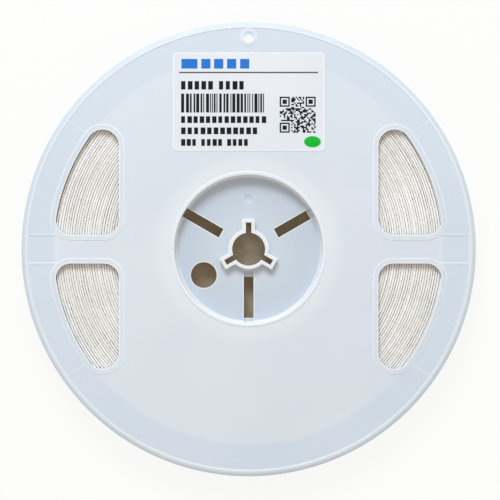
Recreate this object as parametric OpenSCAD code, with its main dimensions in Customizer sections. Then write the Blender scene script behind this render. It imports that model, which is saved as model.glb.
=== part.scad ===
// Reel of 8 mm carrier tape for surface-mount resistors. Two moulded plastic halves are bonded
// back to back at the middle of the hub, and a full roll of paper tape is wound between them.
// Lengths are in millimetres. +Z is the spindle axis, towards the labelled front, and +Y points
// from the hub to the label. The origin is on the spindle axis at the lowest face.

/* [Flanges] */
// Outer diameter of both flanges
reel_d = 178; // [170:1:182]
// Width between the flanges, where the tape lies
inner_w = 9.6; // [8.4:0.1:9.9]
// Thickness of a flange
flange_t = 1.5; // [0.9:0.1:1.6]
// Height of the beads and borders that stand proud of a flange
bead_h = 0.2; // [0.15:0.05:0.5]
// Width of the sloping side of a round bead
bead_ramp = 0.4; // [0.2:0.05:0.8]
// Width of the rounded band round the rim
rim_band_w = 2.2; // [1.6:0.1:3]
// Drop of the rounded band from its crest to the edge
rim_drop = 0.6; // [0.4:0.05:1.1]
// Chamfer of the rim's inner edge
rim_chamfer = 0.3; // [0.1:0.05:0.3]

/* [Hub] */
// Diameter of the barrel that the tape is wound on
barrel_d = 60.8; // [58:0.2:66]
// Thickness of the barrel's wall at its mouth
barrel_wall = 1.2; // [0.8:0.1:2]
// Draft of the barrel's inner wall, in degrees
draft_angle = 5; // [1:0.5:8]
// Thickness of each half's web
web_t = 1.2; // [0.8:0.1:1.6]
// Width of the bead round the hub's mouth
hub_bead_w = 1.5; // [1.2:0.1:3]
// Rounding of the hub's mouth
mouth_round = 0.4; // [0.2:0.05:0.6]
// Fillet between the web and the barrel's wall
foot_fillet = 0.9; // [0.5:0.1:2.2]

/* [Arbor hole] */
// Diameter of the hole for the feeder's spindle
arbor_d = 13; // [12.8:0.1:13.5]
// Width of a keyway
keyway_w = 2.2; // [1.5:0.1:2.5]
// Depth of a keyway outwards from the hole
keyway_depth = 4; // [3:0.1:5]
// Number of keyways
keyways = 3; // [1:1:3]
// Thickness of the collar round the hole
collar_wall = 1.2; // [0.8:0.1:1.5]
// Fillet between the collar's ring and its arms
collar_fillet = 1; // [0.3:0.1:1.5]
// Height of the collar above the web
collar_h = 3; // [1:0.1:4]

/* [Hub slots] */
// Width of a hub slot
slot_w = 3.85; // [2:0.05:4.5]
// Distance from the collar to the front half's two upper slots
slot_gap = 4.8; // [4.2:0.1:8]
// Distance from the collar to the front half's lower slot
low_slot_gap = 0.9; // [0.5:0.1:6]
// Distance from the collar to the rear half's slots
rear_slot_gap = 3.1; // [0.5:0.1:6]
// Depth by which the front half's slots run into the barrel's wall
slot_bite = 0.1; // [0:0.05:0.3]
// Distance from the rear half's two short slots to the hub's mouth
rear_slot_margin = 2.1; // [0.3:0.1:6]

/* [Holes] */
// Diameter of the drive hole in the web
drive_hole_d = 10.2; // [6:0.1:11]
// Distance of the drive hole's centre from the hub's mouth
drive_hole_inset = 8.8; // [7:0.1:10]
// Direction of the drive hole, in degrees from +X
drive_hole_angle = 210; // [200:1:220]
// Diameter of the hole near the rim
rim_hole_d = 4.2; // [2:0.1:4.5]
// Distance of the rim hole's centre from the rim
rim_hole_inset = 5.8; // [5.2:0.1:8]
// Width of the raised ring round the rim hole
rim_ring_w = 0.8; // [0.5:0.1:1.2]
// Diameter of the moulding gate's dimple in the web
gate_d = 4.2; // [2:0.1:5]
// Distance of the dimple's centre from the hub's mouth
gate_inset = 9.4; // [5:0.1:13]
// Depth of the dimple
gate_depth = 0.4; // [0.1:0.05:0.5]

/* [Windows] */
// Distance from the rim to a window's curved side
window_inset = 12.5; // [10:0.1:20]
// Depth of a window from its curved side in to its straight side
window_depth = 25.7; // [20:0.1:30]
// Distance of a window's straight end from the horizontal centre line
window_y = 5.6; // [4:0.1:12]
// Radius of a window's two near corners
window_corner = 5.8; // [2:0.1:7]
// Radius of a window's far corner
window_nose = 6.4; // [3:0.1:7]
// Width of the raised border round a window
border_w = 2; // [1:0.1:3]

/* [Ribs] */
// Width of a flow rib between a window and the rim
rib_w = 0.5; // [0.3:0.05:1]
// Height of a flow rib
rib_h = 0.1; // [0.1:0.05:0.5]
// Depth of the pad between each pair of level ribs
pad_depth = 0.1; // [0.05:0.05:0.3]

/* [Tape] */
// Width of the carrier tape
tape_w = 8; // [7.9:0.05:8.1]
// Thickness of one turn, with its cover films
turn_t = 0.96; // [0.6:0.02:1.6]
// Thickness of the paper carrier alone
carrier_t = 0.75; // [0.5:0.05:0.9]
// Distance between sprocket holes along the tape
sprocket_pitch = 4; // [3.9:0.1:4.1]
// Diameter of a sprocket hole
sprocket_d = 1.5; // [1.5:0.05:1.6]
// Distance of the sprocket holes' centres from the tape's edge
sprocket_edge = 1.75; // [1.65:0.05:1.85]
// Distance from the rim to the wound roll
roll_inset = 12.6; // [12:0.1:40]
// Clearance between the barrel and the roll
winding_gap = 0.05; // [0.05:0.05:0.5]
// Width of the groove between two turns
groove_w = 0.3; // [0.1:0.05:0.4]
// Depth of the groove between two turns
groove_depth = 0.2; // [0.1:0.05:0.4]
// Direction of the tape's loose end, in degrees from +X
loose_end_angle = 285; // [250:1:290]
// Length of the adhesive strip that holds the loose end
strip_len = 24; // [12:1:40]
// Thickness of the adhesive strip
strip_t = 0.15; // [0.1:0.01:0.3]
// Width of the adhesive strip
strip_w = 6; // [4:0.5:8]
// Clearance between the roll and the adhesive strip
strip_gap = 0.02; // [0.01:0.01:0.1]

/* [Label] */
// Width of the label
label_w = 59.5; // [30:0.5:62]
// Height of the label
label_h = 38.5; // [20:0.5:40]
// Thickness of the label
label_t = 0.15; // [0.1:0.01:0.25]
// Radius of the label's corners
label_corner = 1.5; // [0.5:0.1:3]
// Share of the free space between hub and rim hole that lies below the label
label_lift = 0.73; // [0.1:0.01:0.9]

/* [Hidden] */

$fn = 96;
cut = 1; // overshoot of a cut past the face that it opens
fillet_steps = 5;
strip_steps = 12;
taper_angle = 30; // stretch of the last half turn that is too thin to tell from the turn below
keyway_angle = 90;
low_slot_angle = 270;
high_slot_angles = [30, 150];
long_slot_angle = 150; // where the rear half's slot is as long as the front one's

// Radii
reel_r = reel_d / 2;
barrel_r = barrel_d / 2;
mouth_r = barrel_r - barrel_wall;
hub_bead_r = mouth_r + hub_bead_w;
arbor_r = arbor_d / 2;
keyway_r = arbor_r + keyway_depth;
collar_r = arbor_r + collar_wall;
slot_end = mouth_r + slot_bite;
rim_crest_r = reel_r - rim_band_w;
rim_hole_r = reel_r - rim_hole_inset;
rim_ring_r = rim_hole_d / 2 + rim_ring_w;
drive_hole_r = mouth_r - drive_hole_inset;
gate_r = mouth_r - gate_inset;
window_r = reel_r - window_inset;
window_x = window_r - window_depth;
pad_x = window_r - border_w;
roll_in_r = barrel_r + winding_gap;
roll_r = reel_r - roll_inset;

// The label's centre, between the hub's bead and the ring round the rim hole
label_room = rim_hole_r - rim_ring_w / 2 - rim_ring_r - hub_bead_r - label_h;
label_y = hub_bead_r + label_lift * label_room + label_h / 2;

// Heights in a half's own frame, whose zero is the bonding plane between the halves
inner_z = inner_w / 2;
face_z = inner_z + flange_t;
crest_z = face_z + bead_h;
collar_z = web_t + collar_h;

// Heights in the reel's frame
mid_z = crest_z;
roll_z = mid_z - tape_w / 2;

// The whole number of turns that fills the roll, and the step from each to the next
turns = round((roll_r - roll_in_r) / turn_t);
pitch = (roll_r - roll_in_r) / turns;

// Colours
plastic = [0.87, 0.89, 0.91];
paper = [0.90, 0.89, 0.86];
film = [0.93, 0.92, 0.86];
white = [0.96, 0.97, 0.97];

function reversed(list) = [for (i = [len(list) - 1:-1:0]) list[i]];

// Points of an arc about centre c, from angle a0 to a1
function arc(c, r, a0, a1, steps = fillet_steps) =
    [for (i = [0:steps]) let (a = a0 + (a1 - a0) * i / steps) c + r * [cos(a), sin(a)]];

// Radius of the barrel's drafted inner wall at a height
function wall_r(z) = mouth_r - (crest_z - z) * tan(draft_angle);

// Where the tangent to a circle of radius r about the origin, at angle a, crosses x or y = v
function tangent_at_x(r, a, x) = [x, (r - x * cos(a)) / sin(a)];
function tangent_at_y(r, a, y) = [(r - y * sin(a)) / cos(a), y];

// Section of a half: web, drafted barrel, flange, bead round the mouth and rounded rim
function half_section() =
    let (
        foot_z = web_t + foot_fillet,
        foot_c = [wall_r(foot_z) - foot_fillet / cos(draft_angle), foot_z],
        mouth_z = crest_z - mouth_round,
        mouth_c = [wall_r(mouth_z) + mouth_round / cos(draft_angle), mouth_z],
        rim_round = (pow(rim_band_w, 2) + pow(rim_drop, 2)) / 2 / rim_drop
    )
    concat(
        [[0, 0], [barrel_r, 0], [barrel_r, inner_z], [reel_r - rim_chamfer, inner_z]],
        [[reel_r, inner_z + rim_chamfer]],
        arc([rim_crest_r, crest_z - rim_round], rim_round, acos(rim_band_w / rim_round), 90),
        [[rim_crest_r - bead_ramp, face_z], [hub_bead_r, face_z], [hub_bead_r - bead_ramp, crest_z]],
        arc(mouth_c, mouth_round, 90, 180 - draft_angle),
        arc(foot_c, foot_fillet, 360 - draft_angle, 270),
        [[0, web_t]]
    );

// Rounds one corner of an outline: cuts the kite between the round's centre c, its two
// tangent points and the sharp corner, and puts a disc there
module rounded_corner(c, r, t1, corner, t2) {
    difference() {
        children();
        polygon([c, t1, corner, t2]);
    }
    translate(c) circle(r);
}

// Outline of the window in the quadrant of +X and +Y, with every side moved out by grow
module window_outline(grow = 0) {
    x = window_x - grow;
    y = window_y - grow;
    r = window_r + grow;
    near = window_corner + grow;
    nose = window_nose + grow;
    near_c = [x + near, y + near];
    rim_c = [sqrt(pow(r - near, 2) - pow(y + near, 2)), y + near];
    rim_a = atan2(rim_c.y, rim_c.x);
    nose_c = [x + nose, sqrt(pow(r - nose, 2) - pow(x + nose, 2))];
    nose_a = atan2(nose_c.y, nose_c.x);
    rounded_corner(near_c, near, [x, near_c.y], [x, y], [near_c.x, y])
    rounded_corner(rim_c, near, [rim_c.x, y], tangent_at_y(r, rim_a, y), r * [cos(rim_a), sin(rim_a)])
    rounded_corner(nose_c, nose, [x, nose_c.y], tangent_at_x(r, nose_a, x), r * [cos(nose_a), sin(nose_a)])
    intersection() {
        circle(r);
        translate([x, y]) square(r);
    }
}

// One child in each quadrant
module each_quadrant() {
    for (mx = [0, 1], my = [0, 1]) mirror([mx, 0, 0]) mirror([0, my, 0]) children();
}

// Direction of the far corner's centre, which the sloping ribs follow
nose_x = window_x + window_nose;
nose_angle = acos(nose_x / (window_r - window_nose));

// Level and sloping ribs of one quadrant, from the window's border to the rim's crest
module quadrant_ribs() {
    root = face_z - rib_h;
    translate([pad_x, window_y - rib_w / 2, root])
        cube([sqrt(pow(rim_crest_r, 2) - pow(window_y, 2)) - pad_x, rib_w, 2 * rib_h]);
    rotate(nose_angle) translate([window_r + border_w / 2, -rib_w / 2, root])
        cube([rim_crest_r - window_r - border_w / 2, rib_w, 2 * rib_h]);
}

// The sunk pad between the level ribs, on both sides of the reel
module pads() {
    translate([0, 0, face_z - pad_depth]) linear_extrude(cut)
        for (side = [0, 1]) mirror([side, 0, 0]) intersection() {
            circle(rim_crest_r - bead_ramp);
            translate([pad_x + rib_w, -window_y + rib_w / 2]) square([reel_r, 2 * window_y - rib_w]);
        }
}

// Outline of the arbor hole and its keyways, with every side moved out by grow and a fillet
// between the round part and each keyway
module arbor_outline(grow = 0, fillet = 0) {
    r = arbor_r + grow;
    half_w = keyway_w / 2 + grow;
    c = [sqrt(pow(r + fillet, 2) - pow(half_w + fillet, 2)), half_w + fillet];
    circle(r);
    for (i = [0:keyways - 1]) rotate(keyway_angle + i * 360 / keyways) {
        translate([0, -half_w]) square([keyway_r + grow, 2 * half_w]);
        if (fillet > 0) for (side = [0, 1]) mirror([0, side, 0]) difference() {
            polygon([[0, 0], [c.x, 0], [c.x, half_w], c, c * r / (r + fillet)]);
            translate(c) circle(fillet);
        }
    }
}

// A hub slot through the web, from radius r0 to r1
module hub_slot(angle, r0, r1) {
    rotate(angle) translate([r0, -slot_w / 2, -cut]) cube([r1 - r0, slot_w, cut + inner_z]);
}

// The oval ring round the rim hole, which runs out into the rim
module rim_ring() {
    translate([0, 0, face_z - bead_h]) linear_extrude(2 * bead_h) {
        for (shift = [-1, 1]) translate([0, rim_hole_r + shift * rim_ring_w / 2]) circle(rim_ring_r);
        translate([-rim_ring_r, rim_hole_r - rim_ring_w / 2]) square([2 * rim_ring_r, rim_ring_w]);
    }
}

// One moulded half with its bonding plane at zero. slots lists each slot's angle and two ends.
module reel_half(slots) {
    difference() {
        union() {
            rotate_extrude() polygon(half_section());
            linear_extrude(collar_z) arbor_outline(collar_wall, collar_fillet);
            each_quadrant() {
                quadrant_ribs();
                translate([0, 0, face_z - bead_h]) linear_extrude(2 * bead_h) window_outline(border_w);
            }
            rim_ring();
        }
        pads();
        translate([0, 0, -cut]) linear_extrude(crest_z + 2 * cut) {
            each_quadrant() window_outline();
            arbor_outline();
            translate([0, rim_hole_r]) circle(d = rim_hole_d);
            rotate(drive_hole_angle) translate([drive_hole_r, 0]) circle(d = drive_hole_d);
        }
        for (s = slots) hub_slot(s[0], s[1], s[2]);
        translate([0, gate_r, web_t - gate_depth])
            cylinder(h = 2 * gate_depth, d1 = gate_d / 2, d2 = gate_d * 3 / 2);
    }
}

// Front half: flange with windows, half of the barrel, half of the web and a spindle collar
module front_reel_half() {
    slots = concat([[low_slot_angle, collar_r + low_slot_gap, slot_end]],
        [for (a = high_slot_angles) [a, collar_r + slot_gap, slot_end]]);
    color(plastic) translate([0, 0, mid_z]) reel_half(slots);
}

// Rear half: as the front one, but its slots start alike and two of them are shorter
module rear_reel_half() {
    slots = [for (a = concat([low_slot_angle], high_slot_angles))
        [a, collar_r + rear_slot_gap, a == long_slot_angle ? slot_end : mouth_r - rear_slot_margin]];
    color(plastic) translate([0, 0, mid_z]) mirror([0, 0, 1]) reel_half(slots);
}

// Section of the wound turns, from the bore to the last full turn, with a groove on both faces
// between each two turns
function winding_section() =
    let (
        half = groove_w / 2,
        grooves = [for (k = [1:turns - 1]) roll_in_r + k * pitch],
        low = concat(
            [[roll_in_r, 0]],
            [for (g = grooves) each [[g - half, 0], [g, groove_depth], [g + half, 0]]],
            [[roll_r - half, 0], [roll_r, groove_depth]]
        ),
        high = [for (p = low) [p.x, tape_w - p.y]]
    )
    concat(low, reversed(high));

// Radius of the roll's surface at an angle from the loose end. Over the last half turn it rises
// by one turn, on an arc whose centre lies half a turn off the spindle axis.
function surface_r(a) = roll_r + (a > 180 ? pitch / 2 * (1 + cos(a)) : 0);

// Plan of the last half turn, which ends in a step at the loose end
module last_turn() {
    difference() {
        translate([pitch / 2, 0]) circle(roll_r + pitch / 2);
        circle(roll_r);
        translate([-reel_r, 0]) square(reel_d);
        polygon([[0, 0], [-reel_d, 0], [-reel_d, -reel_d * tan(taper_angle)]]);
    }
}

// The row of sprocket holes through the outermost turn
module sprocket_holes() {
    step = sprocket_pitch / roll_r * 180 / PI;
    for (a = [360 - step / 2:-step:0]) rotate(a)
        translate([surface_r(a) - carrier_t, 0, sprocket_edge]) rotate([0, 90, 0])
            cylinder(h = carrier_t + cut, d = sprocket_d);
}

// The roll: turns with grooves between them, the last turn up to its loose end, and the
// sprocket holes of the turn that lies outside
module carrier_tape_roll() {
    color(paper) translate([0, 0, roll_z]) rotate(loose_end_angle) difference() {
        union() {
            rotate_extrude() polygon(winding_section());
            linear_extrude(tape_w) last_turn();
        }
        sprocket_holes();
    }
}

// Line of the adhesive strip at a height above the roll: along the last turn, down the step
// at its end in a short ramp, and along the turn below
function strip_line(lift) =
    let (
        spread = strip_len / 2 / roll_r * 180 / PI,
        ramp = asin(2 * pitch / roll_r)
    )
    concat(arc([pitch / 2, 0], roll_r + pitch / 2 + lift, -spread, 0, strip_steps),
        arc([0, 0], roll_r + lift, ramp, spread, strip_steps));

// Adhesive strip over the tape's loose end
module loose_end_strip() {
    outline = concat(strip_line(strip_gap), reversed(strip_line(strip_gap + strip_t)));
    color(film) translate([0, 0, roll_z + (tape_w - strip_w) / 2]) rotate(loose_end_angle)
        linear_extrude(strip_w) polygon(outline);
}

// Paper label on the front flange
module reel_label() {
    inset = [label_w / 2 - label_corner, label_h / 2 - label_corner];
    color(white) translate([0, label_y, mid_z + face_z]) linear_extrude(label_t) {
        for (sx = [-1, 1], sy = [-1, 1]) translate([sx * inset.x, sy * inset.y]) circle(label_corner);
        square([label_w, 2 * inset.y], center = true);
        square([2 * inset.x, label_h], center = true);
    }
}

front_reel_half();
rear_reel_half();
carrier_tape_roll();
loose_end_strip();
reel_label();
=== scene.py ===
"""Dresses the tape reel: moulded plastic, wound paper tape, its loose end, and a printed label."""
import math
import random

import bmesh
import bpy
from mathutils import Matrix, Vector
from mathutils.geometry import delaunay_2d_cdt


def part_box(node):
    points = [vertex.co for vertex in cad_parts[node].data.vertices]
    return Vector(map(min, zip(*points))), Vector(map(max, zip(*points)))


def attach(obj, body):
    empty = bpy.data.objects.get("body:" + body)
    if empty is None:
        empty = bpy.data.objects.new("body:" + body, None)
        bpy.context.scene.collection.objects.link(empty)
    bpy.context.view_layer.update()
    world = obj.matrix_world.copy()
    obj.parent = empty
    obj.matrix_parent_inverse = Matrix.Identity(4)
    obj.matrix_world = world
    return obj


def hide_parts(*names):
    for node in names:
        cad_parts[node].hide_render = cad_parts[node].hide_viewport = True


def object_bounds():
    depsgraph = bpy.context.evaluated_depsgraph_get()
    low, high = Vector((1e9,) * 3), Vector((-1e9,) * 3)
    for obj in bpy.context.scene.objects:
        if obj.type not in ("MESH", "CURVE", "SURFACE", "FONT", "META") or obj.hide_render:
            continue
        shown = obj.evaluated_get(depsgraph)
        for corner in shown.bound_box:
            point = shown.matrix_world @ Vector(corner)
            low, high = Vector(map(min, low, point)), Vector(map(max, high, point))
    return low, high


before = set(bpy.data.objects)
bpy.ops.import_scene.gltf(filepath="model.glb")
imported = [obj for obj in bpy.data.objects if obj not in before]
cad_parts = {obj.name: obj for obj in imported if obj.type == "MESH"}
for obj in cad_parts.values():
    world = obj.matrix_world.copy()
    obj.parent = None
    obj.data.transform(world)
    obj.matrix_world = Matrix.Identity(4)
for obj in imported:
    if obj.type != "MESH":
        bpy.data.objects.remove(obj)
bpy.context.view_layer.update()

MM = 0.001
TURN = 2 * math.pi
PLASTIC_NODES = ("front_reel_half", "rear_reel_half")

# Places on the moulded halves
WEB_HALF = 1.2 * MM          # from the middle plane to a web's open face
HUB_BEAD_R = 29.9 * MM       # middle of the bead round the hub's mouth
RIM_CREST_R = 86.8 * MM      # crest from which the rim falls off


# ---------------------------------------------------------------- materials

class Nodes:
    """A material's node tree, with short calls to add and join nodes."""

    def __init__(self, name):
        self.material = bpy.data.materials.new(name)
        self.material.use_nodes = True
        self.tree = self.material.node_tree
        self.tree.nodes.clear()
        self.shader = self.add("ShaderNodeBsdfPrincipled")
        self.output = self.add("ShaderNodeOutputMaterial")
        self.join(self.shader.outputs[0], self.output.inputs["Surface"])
        self.place = self.add("ShaderNodeTexCoord").outputs["Object"]

    def add(self, kind, **values):
        node = self.tree.nodes.new(kind)
        for key, value in values.items():
            setattr(node, key, value)
        return node

    def join(self, source, target):
        self.tree.links.new(source, target)

    def put(self, value, socket):
        """Joins an output to a socket, or sets the socket to a constant."""
        if isinstance(value, bpy.types.NodeSocket):
            self.join(value, socket)
        else:
            socket.default_value = value

    def math(self, operation, *values):
        node = self.add("ShaderNodeMath", operation=operation)
        for i, value in enumerate(values):
            self.put(value, node.inputs[i])
        return node.outputs[0]

    def noise(self, vector, scale, detail, roughness=0.5):
        node = self.add("ShaderNodeTexNoise")
        self.put(vector, node.inputs["Vector"])
        node.inputs["Scale"].default_value = scale
        node.inputs["Detail"].default_value = detail
        node.inputs["Roughness"].default_value = roughness
        return node.outputs["Fac"]

    def span(self, value, low, high, out_low=0.0, out_high=1.0):
        """Maps low..high to out_low..out_high, with soft ends."""
        node = self.add("ShaderNodeMapRange", interpolation_type="SMOOTHSTEP")
        self.put(value, node.inputs["Value"])
        node.inputs["From Min"].default_value = low
        node.inputs["From Max"].default_value = high
        node.inputs["To Min"].default_value = out_low
        node.inputs["To Max"].default_value = out_high
        return node.outputs["Result"]

    def mix(self, factor, a, b):
        node = self.add("ShaderNodeMix", data_type="RGBA")
        self.put(factor, node.inputs["Factor"])
        self.put(a, node.inputs[6])
        self.put(b, node.inputs[7])
        return node.outputs[2]

    def bump(self, height, strength, distance):
        node = self.add("ShaderNodeBump")
        node.inputs["Strength"].default_value = strength
        node.inputs["Distance"].default_value = distance
        self.join(height, node.inputs["Height"])
        self.join(node.outputs["Normal"], self.shader.inputs["Normal"])

    def polar(self):
        """Radius from the spindle axis, angle about it, and height, all from the object's place."""
        split = self.add("ShaderNodeSeparateXYZ")
        self.join(self.place, split.inputs[0])
        x, y, z = split.outputs
        squares = self.math("ADD", self.math("POWER", x, 2.0), self.math("POWER", y, 2.0))
        return self.math("SQRT", squares), self.math("ARCTAN2", y, x), z

    def vector(self, x, y, z):
        node = self.add("ShaderNodeCombineXYZ")
        for i, value in enumerate((x, y, z)):
            self.put(value, node.inputs[i])
        return node.outputs[0]

    def near_edge(self, reach, low, high):
        """How near this spot is to an edge of the shape, 0 on open faces and 1 at the edge."""
        rounded = self.add("ShaderNodeBevel", samples=6)
        rounded.inputs["Radius"].default_value = reach
        shape = self.add("ShaderNodeNewGeometry")
        match = self.add("ShaderNodeVectorMath", operation="DOT_PRODUCT")
        self.join(rounded.outputs["Normal"], match.inputs[0])
        self.join(shape.outputs["Normal"], match.inputs[1])
        return self.span(self.math("SUBTRACT", 1.0, match.outputs["Value"]), low, high)

    def finish(self, colour, roughness, specular):
        self.put(colour, self.shader.inputs["Base Color"])
        self.put(roughness, self.shader.inputs["Roughness"])
        self.shader.inputs["Specular IOR Level"].default_value = specular
        return self.material


def rgb(red, green, blue):
    """A colour given in the 0 to 255 values of a screen, as linear light."""
    return tuple(((v / 255 + 0.055) / 1.055) ** 2.4 for v in (red, green, blue)) + (1.0,)


def reel_plastic(name, roll_radius, middle_z, web_half, bead_radius, crest_radius):
    """Milky polystyrene, with light and shade painted into its colour. Painted light makes it
    whiter over the white tape and at its edges, where light leaves it. It is bluer where nothing
    pale lies
    behind: outside the roll, and most of all in the web, where the colour is painted shade."""
    n = Nodes(name)
    radius, _, z = n.polar()

    # The flange: a paler disc over the roll, painted light from the tape behind; palest round the
    # hub
    cloud = n.span(n.noise(n.place, 22.0, 2.0), 0.35, 0.65)
    over_tape = n.mix(cloud, rgb(212, 221, 229), rgb(209, 218, 227))
    past_tape = n.mix(cloud, rgb(205, 216, 226), rgb(202, 214, 224))
    roll_edge = n.span(radius, roll_radius - 0.6 * MM, roll_radius + 0.9 * MM)
    colour = n.mix(roll_edge, over_tape, past_tape)
    halo = n.span(radius, bead_radius + 2 * MM, bead_radius + 9 * MM, 0.34, 0.0)
    colour = n.mix(halo, colour, rgb(232, 236, 239))

    # The web, darker and bluer with painted shade, and the barrel's wall round it, with a painted
    # highlight
    web = n.mix(n.span(radius, 10 * MM, 24 * MM), rgb(198, 208, 217), rgb(190, 201, 213))
    off_middle = n.math("ABSOLUTE", n.math("SUBTRACT", z, middle_z))
    in_web = n.math("MULTIPLY",
                    n.span(off_middle, web_half + 0.1 * MM, web_half + 1.6 * MM, 1.0, 0.0),
                    n.span(radius, bead_radius - 2.0 * MM, bead_radius - 1.3 * MM, 1.0, 0.0))
    colour = n.mix(in_web, colour, web)
    # Painted highlight: the barrel's wall is whitened
    wall_highlight = n.math("MULTIPLY",
                  n.span(radius, bead_radius - 1.6 * MM, bead_radius - 1.1 * MM),
                  n.span(radius, bead_radius - 0.7 * MM, bead_radius, 0.45, 0.0))
    colour = n.mix(wall_highlight, colour, rgb(250, 251, 252))

    # The rim's outermost line is darker with painted shade
    rim_edge_shade = n.span(radius, crest_radius + 1.2 * MM, crest_radius + 2.1 * MM, 0.0, 0.5)
    colour = n.mix(rim_edge_shade, colour, rgb(190, 200, 210))

    # Painted highlights turn edges white: the rim's crest, the low borders, and the edges of
    # openings and collars
    crest_highlight = n.math("MULTIPLY",
                   n.span(radius, crest_radius - 0.3 * MM, crest_radius + 0.3 * MM),
                   n.span(radius, crest_radius + 0.4 * MM, crest_radius + 1.0 * MM, 0.3, 0.0))
    fine = n.math("MULTIPLY", n.near_edge(0.42 * MM, 0.004, 0.06), 0.3)
    inside = n.span(radius, crest_radius + 0.4 * MM, crest_radius + 1.2 * MM, 1.0, 0.0)
    sharp = n.math("MULTIPLY", n.near_edge(0.95 * MM, 0.03, 0.14), inside)
    edge = n.math("MAXIMUM", n.math("MAXIMUM", fine, sharp), crest_highlight)
    colour = n.mix(edge, colour, rgb(250, 251, 253))

    grain = n.noise(n.place, 5200.0, 2.0)
    ripple = n.noise(n.place, 160.0, 2.0)
    n.bump(n.math("ADD", grain, ripple), 0.1, 0.06 * MM)
    shine = n.span(n.noise(n.place, 90.0, 3.0), 0.3, 0.7, 0.45, 0.53)
    n.shader.inputs["Subsurface Weight"].default_value = 0.12
    n.shader.inputs["Subsurface Radius"].default_value = (2.2 * MM, 2.4 * MM, 2.6 * MM)
    n.shader.inputs["Subsurface Scale"].default_value = 1.0
    return n.finish(colour, shine, 0.36)


def paper_edge(name):
    """Cut edges of white paper tape, with fibres drawn out along the turns."""
    n = Nodes(name)
    radius, angle, z = n.polar()
    drawn_out = n.vector(n.math("MULTIPLY", radius, 2600.0),
                         n.math("MULTIPLY", angle, 46.0),
                         n.math("MULTIPLY", z, 300.0))
    fibre = n.noise(drawn_out, 1.0, 4.0, 0.65)
    patch = n.noise(n.place, 70.0, 2.0)
    pale = n.mix(n.span(patch, 0.35, 0.65), rgb(244, 245, 244), rgb(233, 234, 231))
    colour = n.mix(n.span(fibre, 0.5, 0.7), pale, rgb(210, 204, 193))
    n.bump(n.noise(n.place, 2400.0, 3.0, 0.6), 0.35, 0.08 * MM)
    return n.finish(colour, 0.85, 0.25)


def paper_gap(name, last_turn):
    """What is seen between two turns: the tape's flat sides with cover film and glue, darkened with
    brownish painted shade. The outermost gap has a darker, browner painted shade."""
    n = Nodes(name)
    radius, _, _ = n.polar()
    speckle = n.span(n.noise(n.place, 900.0, 3.0, 0.7), 0.42, 0.6)
    patch = n.span(n.noise(n.place, 120.0, 2.0), 0.4, 0.62)
    gap_shade = n.mix(patch, rgb(146, 136, 122), rgb(190, 184, 173))
    colour = n.mix(speckle, gap_shade, rgb(208, 203, 194))
    # Painted shade: the outermost gap is darker and browner
    outermost = n.span(radius, last_turn - 0.4 * MM, last_turn)
    colour = n.mix(outermost, colour, rgb(150, 126, 92))
    return n.finish(colour, 0.6, 0.3)


def paper_face(name, film_top):
    """The tape's flat side, as it shows between the flanges, with its glossier cover film."""
    n = Nodes(name)
    _, _, z = n.polar()
    fibre = n.noise(n.place, 1300.0, 4.0, 0.65)
    colour = n.mix(n.span(fibre, 0.4, 0.6), rgb(238, 236, 229), rgb(228, 224, 214))
    film = n.span(z, film_top - 0.1 * MM, film_top, 1.0, 0.0)
    colour = n.mix(n.math("MULTIPLY", film, 0.5), colour, rgb(214, 216, 214))
    n.bump(fibre, 0.25, 0.06 * MM)
    dull, glossy = (0.8, 0.8, 0.8, 1), (0.25, 0.25, 0.25, 1)
    return n.finish(colour, n.mix(film, dull, glossy), 0.3)


def label_paper(name):
    """Coated white label stock with a faint sheen, and a painted highlight that whitens its cut
    edge.
    """
    n = Nodes(name)
    patch = n.span(n.noise(n.place, 30.0, 2.0), 0.35, 0.65)
    tint = n.mix(patch, rgb(221, 226, 232), rgb(217, 223, 230))
    # Painted highlight: the label's edges are whitened
    tint = n.mix(n.near_edge(0.9 * MM, 0.02, 0.12), tint, rgb(246, 248, 250))
    n.bump(n.noise(n.place, 1800.0, 3.0), 0.12, 0.05 * MM)
    return n.finish(tint, 0.5, 0.35)


def ink(name, red, green, blue):
    """Thermal print, slightly uneven where the head passed."""
    n = Nodes(name)
    band = n.span(n.noise(n.place, 1500.0, 2.0), 0.45, 0.75)
    fading = 16
    worn = rgb(red + fading, green + fading, blue + fading)
    return n.finish(n.mix(band, rgb(red, green, blue), worn), 0.6, 0.15)


def clear_film(name, over, under_blister):
    """Clear glossy film in the colours of what lies behind it."""
    n = Nodes(name)
    blister = n.noise(n.place, 420.0, 3.0)
    colour = n.mix(n.span(blister, 0.4, 0.65), rgb(*over), rgb(*under_blister))
    n.bump(blister, 0.2, 0.1 * MM)
    return n.finish(colour, 0.18, 0.6)


# ---------------------------------------------------------------- mesh helpers

def make_object(name, mesh, *materials):
    """A new object in the scene, with its materials in the order of their slots."""
    for material in materials:
        mesh.materials.append(material)
    piece = bpy.data.objects.new(name, mesh)
    bpy.context.scene.collection.objects.link(piece)
    return piece


def add_block(bm, low, high):
    """A closed box from its low to its high corner."""
    corners = [bm.verts.new((x, y, z))
               for z in (low[2], high[2]) for y in (low[1], high[1]) for x in (low[0], high[0])]
    for face in ((0, 2, 3, 1), (4, 5, 7, 6), (0, 1, 5, 4),
                 (2, 6, 7, 3), (0, 4, 6, 2), (1, 3, 7, 5)):
        bm.faces.new([corners[i] for i in face])


def add_prism(bm, outline, z0, z1):
    """A closed prism on a counter-clockwise outline."""
    low = [bm.verts.new((x, y, z0)) for x, y in outline]
    high = [bm.verts.new((x, y, z1)) for x, y in outline]
    bm.faces.new(list(reversed(low)))
    bm.faces.new(high)
    for i, vert in enumerate(low):
        j = (i + 1) % len(low)
        bm.faces.new((vert, low[j], high[j], high[i]))


def to_mesh(bm, name):
    """Turns a finished bmesh into a mesh and frees it."""
    mesh = bpy.data.meshes.new(name)
    bm.to_mesh(mesh)
    bm.free()
    return mesh


SMOOTH_LIMIT = math.radians(25)    # faces that meet at less than this are shaded as one


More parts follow.
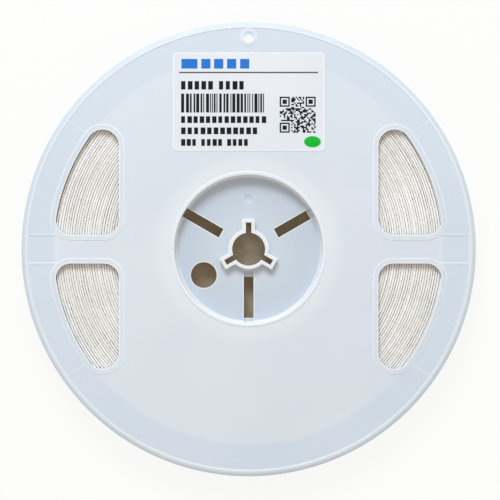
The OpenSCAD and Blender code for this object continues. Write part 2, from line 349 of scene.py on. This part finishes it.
def smooth_cad(node):
    """Smooths the shading of a CAD node's round faces and leaves its vertices as they are."""
    mesh = node.data
    at_place = {}
    for polygon in mesh.polygons:
        for loop in polygon.loop_indices:
            corner = mesh.vertices[mesh.loops[loop].vertex_index].co
            key = tuple(round(c, 7) for c in corner)
            at_place.setdefault(key, []).append((loop, polygon))
    normals = [None] * len(mesh.loops)
    for corners in at_place.values():
        for loop, polygon in corners:
            total = Vector()
            for _, other in corners:
                if polygon.normal.angle(other.normal, 0.0) < SMOOTH_LIMIT:
                    total += other.normal * other.area
            normals[loop] = total.normalized() if total.length else polygon.normal
    mesh.shade_smooth()
    mesh.normals_split_custom_set(normals)


def dress(node, material):
    """Gives a CAD node this material in place of its own."""
    node.data.materials.clear()
    node.data.materials.append(material)


# ---------------------------------------------------------------- pieces

roll_low, roll_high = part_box("carrier_tape_roll")
label_low, label_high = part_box("reel_label")
reel_low, reel_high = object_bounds()
FACE_Z = reel_high.z
MID_Z = (reel_low.z + reel_high.z) / 2

plastic = reel_plastic("moulded_polystyrene", roll_high.x, MID_Z, WEB_HALF, HUB_BEAD_R,
                       RIM_CREST_R)
for node_name in PLASTIC_NODES:
    dress(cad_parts[node_name], plastic)
    smooth_cad(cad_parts[node_name])
dress(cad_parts["loose_end_strip"],
      clear_film("strip_film", (228, 216, 178), (236, 227, 196)))
dress(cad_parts["reel_label"], label_paper("label_stock"))


# The wound tape: one strip of paper in a spiral, with an open gap between its turns.
TURNS = 48
SEGMENTS = 120               # steps to a turn
ROLL_IN = 30.45 * MM         # radius of the bore
ROLL_OUT = 76.4 * MM         # radius of the last full turn
LOOSE_END = math.radians(285)    # direction from the axis in which the spiral starts and ends
PITCH = (ROLL_OUT - ROLL_IN) / TURNS
TAPE_W = roll_high.z - roll_low.z
PAPER = 0.4 * MM             # thickness of the outermost turn's own piece
GAP = 0.4 * MM               # widest opening between two turns at the tape's edges
GAP_DEPTH = 0.75 * MM        # deepest opening between two turns
STRAY = 0.3 * MM             # how far a turn may stand above the lowest one
SLACK = 0.16 * MM            # how far a turn may lie off the even spiral
SLACK_ENDS = 1.5             # turns before the loose end in which the slack dies out
UNDER_LAST = 0.01 * MM       # clearance between the roll and its outermost turn
LEAST_TURN = 0.05 * MM       # least thickness of the first turn's thin start
LEAST_LAND = 0.02 * MM       # least paper left beside an opening
EDGE, BETWEEN, FLAT, POCKET = range(4)     # the tape's material slots
tape_rng = random.Random(8)


def waves(count, low, high):
    """A slow, uneven wave along the tape: a function of the turns wound, from -1 to 1."""
    parts = [(tape_rng.uniform(low, high), tape_rng.uniform(0, TURN), tape_rng.uniform(0.4, 1.0))
             for _ in range(count)]
    total = sum(weight for _, _, weight in parts)

    def wave(turns):
        return sum(weight * math.sin(TURN * pace * turns + start)
                   for pace, start, weight in parts) / total

    return wave


slack = waves(5, 0.1, 0.62)
spread = waves(5, 0.9, 3.7)
tilt = waves(5, 0.12, 0.5)
depth = waves(6, 0.8, 5.3)


def radius_at(turns):
    """Inner radius of the tape after so many turns. The next turn starts where this one ends."""
    held = min(1.0, max(0.0, turns), max(0.0, TURNS - turns) / SLACK_ENDS)
    return ROLL_IN + PITCH * turns + SLACK * held * slack(turns)


def shift_at(turns):
    """How far the tape stands above its lowest place after so many turns."""
    return STRAY * (0.5 + 0.5 * tilt(turns))


def wound_roll():
    """One closed mesh. Its section at each step is the row of turns; each turn's outer side meets
    the next turn's inner one a full circle later."""
    bm = bmesh.new()
    rings = []
    for step in range((TURNS + 1) * SEGMENTS + 1):
        turns = step / SEGMENTS
        angle = LOOSE_END + turns * TURN
        inner, outer = radius_at(turns - 1), radius_at(turns)
        if turns >= TURNS:
            outer -= PAPER + UNDER_LAST
        inner, outer = max(inner, ROLL_IN), max(outer, ROLL_IN + LEAST_TURN)
        lip = min(inner + GAP * (0.62 + 0.38 * spread(turns)), outer - LEAST_LAND)
        sink = GAP_DEPTH * (0.55 + 0.45 * depth(turns))
        high, low = roll_high.z + shift_at(turns), roll_low.z + shift_at(turns)
        way = Vector((math.cos(angle), math.sin(angle), 0))
        rings.append([bm.verts.new(way * r + Vector((0, 0, z))) for r, z in (
            (inner, high - sink), (lip, high - sink), (lip, high), (outer, high),
            (outer, low), (lip, low), (lip, low + sink), (inner, low + sink))])
    slots = (BETWEEN, BETWEEN, EDGE, FLAT, EDGE, BETWEEN, BETWEEN, EDGE)
    for a, b in zip(rings, rings[1:]):
        for i, slot in enumerate(slots):
            j = (i + 1) % len(slots)
            bm.faces.new((a[i], a[j], b[j], b[i])).material_index = slot
    for end in (rings[0], rings[-1]):
        bm.faces.new(end)
    bmesh.ops.recalc_face_normals(bm, faces=bm.faces)
    return to_mesh(bm, "wound_tape")


# The outermost turn's openings, along the tape (u) and up from its lower edge (v)
CELL = 4.0 * MM              # distance between feed holes
HOLE_R, HOLE_STEPS = 0.75 * MM, 16
HOLE_U, HOLE_V = 1.0 * MM, TAPE_W - 1.75 * MM
HOLE_DEPTH = PAPER - 0.05 * MM
HOLE_SLACK = 0.01 * MM       # how far inside the hole's circle the middle of a face in it lies
POCKET_U, POCKET_V = 3.0 * MM, TAPE_W - 5.25 * MM
POCKET_HALF_U, POCKET_HALF_V = 0.5 * MM, 0.9 * MM
POCKET_DEPTH = 0.12 * MM
INSIDE_TRIANGLES = 1         # the kind of faces asked of delaunay_2d_cdt
SAME_POINT = 1e-7            # metres below which points of one cell are merged
SAME_PLACE = 1e-6            # metres below which corners of neighbouring faces are merged


def cell_layout():
    """One cell of the tape's outer face: its points, the faces around the openings, and the
    outlines of the feed hole and the pocket."""
    hole = [(HOLE_U + HOLE_R * math.cos(TURN * i / HOLE_STEPS),
             HOLE_V + HOLE_R * math.sin(TURN * i / HOLE_STEPS)) for i in range(HOLE_STEPS)]
    pocket = [(POCKET_U + side * POCKET_HALF_U, POCKET_V + level * POCKET_HALF_V)
              for side, level in ((-1, -1), (1, -1), (1, 1), (-1, 1))]
    corners = [(0, 0), (CELL, 0), (CELL, TAPE_W), (0, TAPE_W)]
    points, edges = [], []
    for loop in (corners, hole, pocket):
        start = len(points)
        points += loop
        edges += [(start + i, start + (i + 1) % len(loop)) for i in range(len(loop))]
    flat, _, faces, _, _, _ = delaunay_2d_cdt([Vector(p) for p in points], edges, [],
                                              INSIDE_TRIANGLES, SAME_POINT)

    def in_opening(face):
        u = sum(flat[i][0] for i in face) / len(face)
        v = sum(flat[i][1] for i in face) / len(face)
        in_hole = math.hypot(u - HOLE_U, v - HOLE_V) < HOLE_R - HOLE_SLACK
        in_pocket = abs(u - POCKET_U) < POCKET_HALF_U and abs(v - POCKET_V) < POCKET_HALF_V
        return in_hole or in_pocket

    return flat, [face for face in faces if not in_opening(face)], hole, pocket


def outer_turn():
    """The outermost turn, with its row of feed holes and the closed pockets beside them."""
    bm = bmesh.new()
    count = round(TURN * ROLL_OUT / CELL)
    stretch = TURN / (count * CELL)
    flat, skin, hole, pocket = cell_layout()

    def place(u, v, inward=0.0):
        part = u * stretch / TURN
        turns = TURNS - 1 + part
        angle = LOOSE_END + turns * TURN
        r = ROLL_OUT + PITCH * part - inward
        z = roll_low.z + shift_at(turns + 1) + v
        return bm.verts.new((r * math.cos(angle), r * math.sin(angle), z))

    for k in range(count):
        base = k * CELL
        outer = [place(base + p[0], p[1]) for p in flat]
        for face in skin:
            bm.faces.new([outer[i] for i in face]).material_index = FLAT
        # A feed hole's floor takes the gap's painted shade, a pocket's floor the pocket film's
        # painted shade
        for loop, deep, floor_slot in ((hole, HOLE_DEPTH, BETWEEN), (pocket, POCKET_DEPTH, POCKET)):
            brim = [place(base + u, v) for u, v in loop]
            bottom = [place(base + u, v, deep) for u, v in loop]
            for i in range(len(loop)):
                j = (i + 1) % len(loop)
                bm.faces.new((brim[i], brim[j], bottom[j], bottom[i])).material_index = EDGE
            bm.faces.new(bottom).material_index = floor_slot
        low_in, high_in, low_out, high_out = (
            [place(base + u, v, inward) for u in (0, CELL)]
            for v, inward in ((0, PAPER), (TAPE_W, PAPER), (0, 0.0), (TAPE_W, 0.0)))
        for quad in ((low_out[0], low_out[1], low_in[1], low_in[0]),
                     (high_out[0], high_out[1], high_in[1], high_in[0]),
                     (low_in[0], low_in[1], high_in[1], high_in[0])):
            bm.faces.new(quad).material_index = EDGE
        for i, end in ((0, 0), (1, count - 1)):
            if k == end:
                cap = (low_out[i], high_out[i], high_in[i], low_in[i])
                bm.faces.new(cap).material_index = EDGE
    bmesh.ops.remove_doubles(bm, verts=bm.verts, dist=SAME_PLACE)
    bmesh.ops.recalc_face_normals(bm, faces=bm.faces)
    return to_mesh(bm, "outer_turn")


tape_materials = (paper_edge("paper_edge"),
                  paper_gap("paper_gap", ROLL_OUT - PITCH * 0.5),
                  paper_face("paper_face", roll_high.z - 2.6 * MM),
                  # the pocket film is greyed with painted shade of the hollow pocket below it
                  clear_film("pocket_film", (168, 164, 156), (190, 187, 180)))
roll = make_object("wound_tape", wound_roll(), *tape_materials[:POCKET])
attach(roll, "root")
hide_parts("carrier_tape_roll")
last = make_object("outer_turn", outer_turn(), *tape_materials)
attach(last, "root")


# The label's print: generic fields of colour, with nothing that can be read or scanned. Its sizes
# are in millimetres, to the right and down from the label's upper left corner.
INK_T = 0.02                 # thickness of a printed field
PRINT_LEFT = 3.3
WORD_GAP = 0.6               # space after a word, as a share of the step between blocks
TEXT_ROWS = (                # top, height, blocks to each word, step from block to block
    (11.2, 3.3, (5, 4), 2.65),
    (24.95, 2.65, (14,), 2.43),
    (29.35, 2.65, (12,), 2.55),
    (33.9, 2.65, (3, 4, 4), 2.2))
BARS_TOP, BARS_BOTTOM, BARS_RIGHT = 16.1, 23.5, 36.1
DOTS_LEFT, DOTS_TOP, DOTS_SIZE, DOTS_CELLS = 41.9, 17.3, 14.1, 25
CORNER_CELLS = 7             # cells across a dot code's corner square
RULE = (2.5, 7.55, 56.9, 8.1)        # two corners
HEADING_TOP, HEADING_BOTTOM = 2.5, 6.3
HEADING_BLOCKS = ((3.4, 6.3), (11.2, 3.6), (16.2, 3.6), (21.3, 3.6), (26.4, 3.6))  # left, width
OVAL = (54.75, 34.95, 3.3, 2.2)      # centre, half width and half height
OVAL_STEPS = 40
black = ink("black_ink", 10, 10, 12)
blue = ink("blue_ink", 36, 112, 198)
green = ink("green_ink", 14, 172, 42)
grey = ink("grey_ink", 84, 82, 80)


def label_block(bm, x0, y0, x1, y1):
    """A printed rectangle between two corners, in the label's own sizes."""
    left, top = label_low.x, label_high.y
    add_block(bm, (left + x0 * MM, top - y1 * MM, label_high.z),
              (left + x1 * MM, top - y0 * MM, label_high.z + INK_T * MM))


def print_piece(name, bm, material):
    """One field of print, which belongs to the label's paper."""
    piece = make_object(name, to_mesh(bm, name), material)
    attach(piece, "root")


def text_rows():
    """Rows of small blocks where a label has its lines of text."""
    bm = bmesh.new()
    rng = random.Random(3)
    for top, height, words, step in TEXT_ROWS:
        x = PRINT_LEFT
        for word in words:
            for _ in range(word):
                width = step * rng.uniform(0.6, 0.76)
                label_block(bm, x, top, x + width, top + height)
                x += step
            x += WORD_GAP * step
    return bm


def bar_code():
    """Bars of chance widths, which hold no code."""
    bm = bmesh.new()
    rng = random.Random(11)
    x = PRINT_LEFT
    while x < BARS_RIGHT:
        width = rng.choice((0.4, 0.7, 0.95, 1.2))
        label_block(bm, x, BARS_TOP, min(x + width, BARS_RIGHT), BARS_BOTTOM)
        x += width + rng.choice((0.35, 0.35, 0.5, 0.7))
    return bm


def dot_code():
    """A square of chance cells, which holds no code, with a framed square in three corners."""
    bm = bmesh.new()
    rng = random.Random(29)
    cell = DOTS_SIZE / DOTS_CELLS
    far = DOTS_CELLS - CORNER_CELLS
    middle = CORNER_CELLS // 2

    def dark(i, j):
        for corner_i, corner_j in ((0, 0), (far, 0), (0, far)):
            u, v = i - corner_i, j - corner_j
            if -1 <= u <= CORNER_CELLS and -1 <= v <= CORNER_CELLS:
                return max(abs(u - middle), abs(v - middle)) in (0, 1, middle)
        return rng.random() < 0.5

    for j in range(DOTS_CELLS):
        row = [dark(i, j) for i in range(DOTS_CELLS)] + [False]
        start = None
        for i, on in enumerate(row):
            if on and start is None:
                start = i
            if not on and start is not None:
                label_block(bm, DOTS_LEFT + start * cell, DOTS_TOP + j * cell,
                            DOTS_LEFT + i * cell, DOTS_TOP + (j + 1) * cell)
                start = None
    return bm


def blocks(*corners):
    """Printed rectangles, each given by its two corners."""
    bm = bmesh.new()
    for block in corners:
        label_block(bm, *block)
    return bm


def oval(x, y, half_w, half_h):
    """A printed oval about a centre."""
    bm = bmesh.new()
    left, top = label_low.x, label_high.y
    outline = [(left + (x + half_w * math.cos(a)) * MM, top - (y - half_h * math.sin(a)) * MM)
               for a in (TURN * i / OVAL_STEPS for i in range(OVAL_STEPS))]
    add_prism(bm, outline, label_high.z, label_high.z + INK_T * MM)
    return bm


print_piece("label_text_rows", text_rows(), black)
print_piece("label_bar_code", bar_code(), black)
print_piece("label_dot_code", dot_code(), black)
print_piece("label_rule", blocks(RULE), grey)
print_piece("label_heading_field", blocks(*((left, HEADING_TOP, left + width, HEADING_BOTTOM)
                                            for left, width in HEADING_BLOCKS)), blue)
print_piece("label_mark_field", oval(*OVAL), green)


# ---------------------------------------------------------------- stage, light and camera

VIEW_WIDTH = 0.1958          # metres across the picture at the front flange
VIEW_HEIGHT = 1.1            # from the front flange up to the camera
VIEW_SHIFT = (0.53 * MM, -0.33 * MM)     # how far the camera stands off the spindle axis
SENSOR = 36.0                # millimetres across the camera's sensor
CLIP_START = 0.01
FLOOR_REACH = 3.0            # metres from the axis to the floor's sides
UNDER_REEL = (0.050, 0.072)  # radii between which the floor's brown painted shade turns pale
SELF_LIT = (0.058, 0.078)    # radii between which the floor's own light rises to its full share
KEY_PLACE, KEY_SIZE, KEY_POWER = (-0.15, 0.95, 0.95), 0.6, 13.0
KEY_COLOUR = (0.9, 1.0, 1.11)            # cool, and the fill is warm
FILL_COLOUR, FILL_STRENGTH = (1.12, 1.0, 0.88, 1), 0.58
WHITE = (1, 1, 1, 1)


def floor_material():
    """A pale floor that shows white to the camera and still keeps the reel's shadow. Below the hub
    it has brown painted shade and a dark brown glow, where the photograph has brown in the hub's
    openings."""
    n = Nodes("floor")
    radius, _, _ = n.polar()
    mottle = n.span(n.noise(n.place, 130.0, 3.0), 0.4, 0.6)
    # Painted shade: the floor is brown below the reel
    shade_under_reel = n.mix(mottle, rgb(208, 193, 171), rgb(190, 174, 151))
    past_reel = n.span(radius, *UNDER_REEL)
    n.finish(n.mix(past_reel, shade_under_reel, rgb(228, 226, 222)), 0.9, 0.1)
    light = n.add("ShaderNodeEmission")
    # Painted shade: below the reel the camera sees a dark brown glow; past it, white
    n.put(n.mix(past_reel, rgb(104, 86, 62), WHITE), light.inputs["Color"])
    path = n.add("ShaderNodeLightPath")
    seen = n.math("MAXIMUM", path.outputs["Is Camera Ray"],
                  n.math("MAXIMUM", path.outputs["Is Glossy Ray"],
                         path.outputs["Is Transmission Ray"]))
    share = n.span(radius, *SELF_LIT, 0.42, 0.9)
    mixer = n.add("ShaderNodeMixShader")
    n.join(n.math("MULTIPLY", seen, share), mixer.inputs[0])
    n.join(n.shader.outputs[0], mixer.inputs[1])
    n.join(light.outputs[0], mixer.inputs[2])
    n.join(mixer.outputs[0], n.output.inputs["Surface"])
    return n.material


def floor_square():
    """One square at the lowest face's level."""
    bm = bmesh.new()
    bmesh.ops.create_grid(bm, x_segments=1, y_segments=1, size=FLOOR_REACH)
    return bm


floor = make_object("floor", to_mesh(floor_square(), "floor"), floor_material())


def area_light(name, place, size, power, colour):
    """A round lamp that faces the origin."""
    lamp = bpy.data.lights.new(name, "AREA")
    lamp.shape = "DISK"
    lamp.size = size
    lamp.energy = power
    lamp.color = colour
    lamp_object = bpy.data.objects.new(name, lamp)
    bpy.context.scene.collection.objects.link(lamp_object)
    lamp_object.location = place
    lamp_object.rotation_euler = (-Vector(place)).to_track_quat("-Z", "Y").to_euler()


area_light("key", KEY_PLACE, KEY_SIZE, KEY_POWER, KEY_COLOUR)


def studio_world():
    """A weak warm fill that camera, glossy and transmission rays see as white."""
    world = bpy.data.worlds.new("studio")
    world.use_nodes = True
    nodes, links = world.node_tree.nodes, world.node_tree.links
    fill = nodes["Background"]
    fill.inputs["Color"].default_value = FILL_COLOUR
    fill.inputs["Strength"].default_value = FILL_STRENGTH
    white = nodes.new("ShaderNodeBackground")
    white.inputs["Color"].default_value = WHITE
    white.inputs["Strength"].default_value = 1.0
    rays = nodes.new("ShaderNodeLightPath")
    chooser = nodes.new("ShaderNodeMixShader")
    seen = rays.outputs["Is Camera Ray"]
    for kind in ("Is Glossy Ray", "Is Transmission Ray"):
        either = nodes.new("ShaderNodeMath")
        either.operation = "MAXIMUM"
        links.new(seen, either.inputs[0])
        links.new(rays.outputs[kind], either.inputs[1])
        seen = either.outputs[0]
    links.new(seen, chooser.inputs[0])
    links.new(fill.outputs[0], chooser.inputs[1])
    links.new(white.outputs[0], chooser.inputs[2])
    links.new(chooser.outputs[0], nodes["World Output"].inputs["Surface"])
    return world


bpy.context.scene.world = studio_world()

camera_data = bpy.data.cameras.new("camera")
camera_data.sensor_width = SENSOR
camera_data.lens = SENSOR * VIEW_HEIGHT / VIEW_WIDTH
camera_data.clip_start = CLIP_START
camera = bpy.data.objects.new("camera", camera_data)
bpy.context.scene.collection.objects.link(camera)
camera.location = (*VIEW_SHIFT, FACE_Z + VIEW_HEIGHT)
bpy.context.scene.camera = camera
bpy.context.scene.view_settings.view_transform = "Standard"
